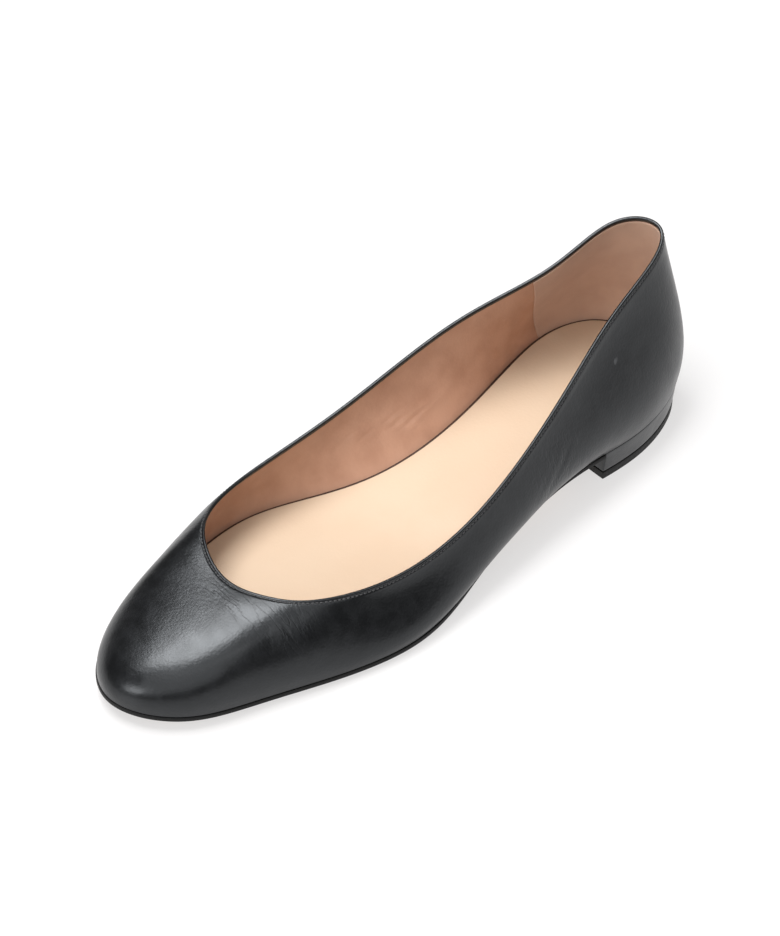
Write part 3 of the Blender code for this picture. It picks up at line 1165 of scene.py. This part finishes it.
            along = (ahead - normal * ahead.dot(normal)).normalized()
            across = along.cross(normal)
            base = len(vertices)
            for x, y, z in shape:
                vertices.append(onto + across * x + along * y + normal * (z + lift))
            faces.extend(tuple(base + corner for corner in face) for face in corners)
        data = bpy.data.meshes.new("topline_stitches")
        data.from_pydata(vertices, [], faces)
        piece = bpy.data.objects.new("topline_stitches", data)
        bpy.context.scene.collection.objects.link(piece)
        return finish_piece(piece, self.thread)

    @staticmethod
    def _round(guide: np.ndarray, reach: np.ndarray, share: float) -> np.ndarray:
        """Find a place on the smooth curve through the points of a closed guide.

        Args:
            guide: the points.
            reach: their distances along the guide, with its whole length at the end.
            share: the distance of the place.

        Returns:
            The place.
        """
        count = len(guide)
        at = int(np.searchsorted(reach, share, side="right")) - 1
        t = (share - reach[at]) / (reach[at + 1] - reach[at])
        a, b, c, d = (guide[(at + step) % count] for step in (-1, 0, 1, 2))
        return b + 0.5 * t * (c - a + t * (2 * a - 5 * b + 4 * c - d + t * (3 * (b - c) + d - a)))

    def _inner_face(self, name: str, clear: float) -> Object:
        """Copy the inner face, shortened at its top and at its foot, behind the insole's edge.

        Args:
            name: the new object's name.
            clear: how far below the fold it starts, as a share of the turned-in edge.

        Returns:
            A smooth sheet.
        """
        piece, net = self._wall(name)
        points = points_of(piece)
        points[net.index[Ring.INNER_TOP.value]] += self._inward(points, net) * self.turn_in * clear
        foot = net.index[Ring.INNER_FOOT.value]
        rise = points[net.index[Ring.INNER_FOOT.value - 1]] - points[foot]
        length = np.linalg.norm(rise, axis=1, keepdims=True)
        points[foot] += rise / length * np.minimum(self.foot_gap, length * 0.8)
        place(piece, points)
        self._keep_rings(piece, Ring.INNER_TOP.value, Ring.INNER_FOOT.value)
        subdivide(piece, 2)
        return piece

    def lining(self) -> Object:
        """Line the inner face, from under the turned edge down to the insole.

        Returns:
            The piece.
        """
        piece = self._inner_face("lining", self.lining_start)
        points = points_of(piece)
        offset = -self.lining_recess + np.zeros(len(points))
        for form in LINING_WRINKLES:
            offset += form.relief(points)
        offset += np.minimum(0.0, self.lining_hollows.relief(points))
        place(piece, points + normals_of(piece) * offset[:, None])
        thicken(piece, self.lining_hide_thickness)
        return finish_piece(piece, self.lining_hide)

    def heel_grip(self) -> Object:
        """Add a second layer of lining round the heel.

        Returns:
            The piece.
        """
        piece = self._inner_face("heel_grip", self.grip_start)
        with editing(piece):
            bpy.ops.mesh.select_all(action="SELECT")
            bpy.ops.mesh.bisect(plane_co=self.grip_front, plane_no=self.grip_facing, clear_inner=True)
        proud = self.grip_proud - self.lining_recess
        place(piece, points_of(piece) + normals_of(piece) * proud)
        thicken(piece, self.grip_proud)
        round_edges(piece, self.grip_rounding, 1.0)
        return finish_piece(piece, self.grip_hide)


@dataclass
class Insole:
    """Insole board, and the sock leather glued on it; the board's dark rim round the sock is partly its own
    edge and partly painted shade of the gap to the lining.
    """

    frame: dict
    board_hide_and_gap_shade: Material
    sock_hide: Material
    rim: float = 0.00120
    rounding: float = 0.00025
    sock_thickness: float = 0.0007
    sock_rounding: float = 0.00018
    sunk: float = 0.7
    waves: Ripple = Ripple(0.03, 2.0, 0.18)

    def build(self) -> list[Object]:
        """Build the board and the sock."""
        return [self.board(), self.sock()]

    def _top_faces(self, piece: Object) -> np.ndarray:
        """True for the faces of the plate's upper side."""
        return np.array([polygon.normal.z > 0.5 for polygon in piece.data.polygons])

    def board(self) -> Object:
        """Make the board, lowered by a part of the sock's thickness.

        Returns:
            The piece.
        """
        piece = copy_node(self.frame, "insole", "insole_board")
        top = np.zeros(len(piece.data.vertices), dtype=bool)
        for polygon, up in zip(piece.data.polygons, self._top_faces(piece)):
            if up:
                top[list(polygon.vertices)] = True
        points = points_of(piece)
        points[top, 2] -= self.sock_thickness * self.sunk
        place(piece, points)
        round_edges(piece, self.rounding, 0.6)
        subdivide(piece, 1)
        # The board's dark colour shows as a thin line round the sock: partly the board's own edge, partly
        # painted shade of the gap between sock and lining
        return finish_piece(piece, self.board_hide_and_gap_shade, "insole")

    def sock(self) -> Object:
        """Make the sock: the plate's upper side, a little smaller than the board.

        Returns:
            The piece.
        """
        piece = copy_node(self.frame, "insole", "sock")
        mark(piece, "FACE", ~self._top_faces(piece))
        with editing(piece, "FACE"):
            bpy.ops.mesh.delete(type="FACE")
            bpy.ops.mesh.select_all(action="SELECT")
            bpy.ops.mesh.inset(thickness=self.rim, use_boundary=True)
            bpy.ops.mesh.select_all(action="INVERT")
            bpy.ops.mesh.delete(type="FACE")
        subdivide(piece, 2)
        points = points_of(piece)
        points[:, 2] += self.waves.relief(points * (1.0, 1.0, 0.0))
        place(piece, points)
        thicken(piece, self.sock_thickness)
        round_edges(piece, self.sock_rounding, 0.9)
        return finish_piece(piece, self.sock_hide)


@dataclass
class Bottom:
    """Outsole, covered heel and top lift."""

    frame: dict
    sole_hide: Material
    cover: Material
    rubber: Material
    rounding: float = 0.00022
    batch: int = 2000

    def build(self) -> list[Object]:
        """Build the three pieces under the shoe."""
        return [
            self.outsole(),
            self._block("heel", "covered_heel", self.cover),
            self._block("top_lift", "rubber_lift", self.rubber),
        ]

    def outsole(self) -> Object:
        """Make the leather sole and keep how far its vertices lie from the edge.

        Returns:
            The piece.
        """
        piece = copy_node(self.frame, "outsole", "leather_outsole")
        round_edges(piece, self.rounding, 0.5)
        subdivide(piece, 2)
        points = points_of(piece)
        normals = normals_of(piece)
        rim = points[np.abs(normals[:, 2]) < 0.5][:, :2]
        gaps = np.full(len(points), 1.0)
        for start in range(0, len(points), self.batch):
            part = slice(start, start + self.batch)
            away = points[part, None, :2] - rim[None, ::4]
            gaps[part] = np.sqrt((away ** 2).sum(axis=2)).min(axis=1)
        note(piece, "from_edge", gaps)
        return finish_piece(piece, self.sole_hide, "outsole")

    def _block(self, node: str, name: str, finish: Material) -> Object:
        """Make a block of the heel, with whole end faces and a rounder wall.

        Args:
            node: the solid that it stands for.
            name: the piece's name.
            finish: its material.

        Returns:
            The piece.
        """
        piece = copy_node(self.frame, node, name)
        with editing(piece):
            bpy.ops.mesh.select_all(action="SELECT")
            bpy.ops.mesh.dissolve_limited(angle_limit=math.radians(0.6))
        subdivide(piece, 2)
        return finish_piece(piece, finish, node)


@dataclass(frozen=True)
class Lamp:
    """A rectangular light that faces the shoe."""

    name: str
    where: Point
    size: tuple[float, float]
    glow: float

    def hang(self) -> None:
        """Add the light, with the power that its glow and its size give."""
        data = bpy.data.lights.new(self.name, "AREA")
        data.shape = "RECTANGLE"
        data.size, data.size_y = self.size
        data.energy = self.glow * math.pi * self.size[0] * self.size[1]
        lamp = bpy.data.objects.new(self.name, data)
        lamp.location = self.where
        lamp.rotation_euler = (Vector((0.0, 0.0, 0.02)) - lamp.location).to_track_quat("-Z", "Y").to_euler()
        bpy.context.scene.collection.objects.link(lamp)


# A large and a wide softbox overhead, a fill behind the camera and a low light before the toe
LAMPS = (
    Lamp("main softbox", (-0.29, -0.10, 1.2), (0.94, 0.56), 11.0),
    Lamp("wide softbox", (0.10, 0.10, 1.60), (2.2, 2.2), 0.8),
    Lamp("fill", (0.95, -1.0, 1.25), (2.0, 1.5), 1.25),
    Lamp("front", (0.05, -1.3, 0.5), (0.5, 0.35), 7.2757),
)


@dataclass
class Studio:
    """Pale glowing floor, soft lights, an even sky and the camera."""

    eye: Point = (0.6174, -0.5767, 0.8822)
    aim: Point = (-0.0048, -0.0008, 0.0300)
    lens: float = 138.8
    sky: float = 0.12
    table_glow: float = 0.62
    table_size: float = 12.0
    table_drop: float = 0.00002

    def build(self) -> None:
        """Set up floor, lights and camera."""
        self._floor()
        self._lights()
        self._camera()
        bpy.context.scene.view_settings.view_transform = "Standard"

    def _floor(self) -> None:
        """Lay a white light table, which glows a little, so that shadows on it stay pale."""
        bpy.ops.object.select_all(action="DESELECT")
        bpy.ops.mesh.primitive_plane_add(size=self.table_size, location=(0.0, 0.0, -self.table_drop))
        floor = bpy.context.active_object
        floor.name = "floor"
        made = Finish("white floor")
        tone = made.blend(made.cloud(0.5), (0.30, 0.30, 0.30, 1.0), (0.292, 0.29, 0.29, 1.0))
        floor.data.materials.append(made.surface(
            Base_Color=tone, Roughness=0.35, Specular_IOR_Level=0.35,
            Emission_Color=(1.0, 0.985, 0.98, 1.0), Emission_Strength=self.table_glow,
        ))

    def _lights(self) -> None:
        """Hang the lamps and set an even sky."""
        for lamp in LAMPS:
            lamp.hang()
        world = bpy.data.worlds.new("studio")
        world.use_nodes = True
        background = world.node_tree.nodes["Background"]
        background.inputs["Color"].default_value = (1.0, 1.0, 1.0, 1.0)
        background.inputs["Strength"].default_value = self.sky
        bpy.context.scene.world = world

    def _camera(self) -> None:
        """Set up the camera at the photograph's angle to the shoe."""
        data = bpy.data.cameras.new("camera")
        data.lens = self.lens
        data.sensor_width = 36.0
        data.sensor_fit = "AUTO"
        camera = bpy.data.objects.new("camera", data)
        camera.location = self.eye
        camera.rotation_euler = (Vector(self.aim) - Vector(self.eye)).to_track_quat("-Z", "Y").to_euler()
        bpy.context.scene.collection.objects.link(camera)
        bpy.context.scene.camera = camera


def main() -> None:
    """Build the looks of the shoe around its solids."""
    logging.basicConfig(level=logging.INFO, format="%(message)s")
    clear_scene()
    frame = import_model()
    grain = grain_group()
    calf = BlackCalf("black calf", grain).make()
    cover = BlackCalf("black calf on the heel", grain, glossy=0.28, dull=0.38, coat=0.25).make()
    lining = SoftHide("rose tan lining", grain, (0.55, 0.32, 0.22, 1.0), (0.46, 0.255, 0.17, 1.0)).make()
    grip = SoftHide(
        "rose tan grip", grain, (0.55, 0.37, 0.275, 1.0), (0.49, 0.32, 0.235, 1.0),
        roughness=0.7, sheen=0.15,
    ).make()
    sock = SoftHide(
        "peach sock", grain, (0.575, 0.440, 0.318, 1.0), (0.555, 0.415, 0.295, 1.0), patch=0.03
    ).make()
    # Dark brown board: partly its own edge colour, partly painted shade of the gap between sock and lining
    board = SoftHide("dark insole rim and painted gap shade", grain, (0.06, 0.028, 0.017, 1.0), (0.035, 0.017, 0.011, 1.0)).make()
    sole = PaintedEdge("sole leather", grain).make()
    rubber = Rubber("lift rubber").make()
    thread = Thread("black thread").make()
    assemblies = (
        Upper(frame, calf, lining, grip, thread),
        Insole(frame, board, sock),
        Bottom(frame, sole, cover, rubber),
    )
    for assembly in assemblies:
        for piece in assembly.build():
            log.info("%s is in place", piece.name)
    Studio().build()


if __name__ == "__main__":
    main()
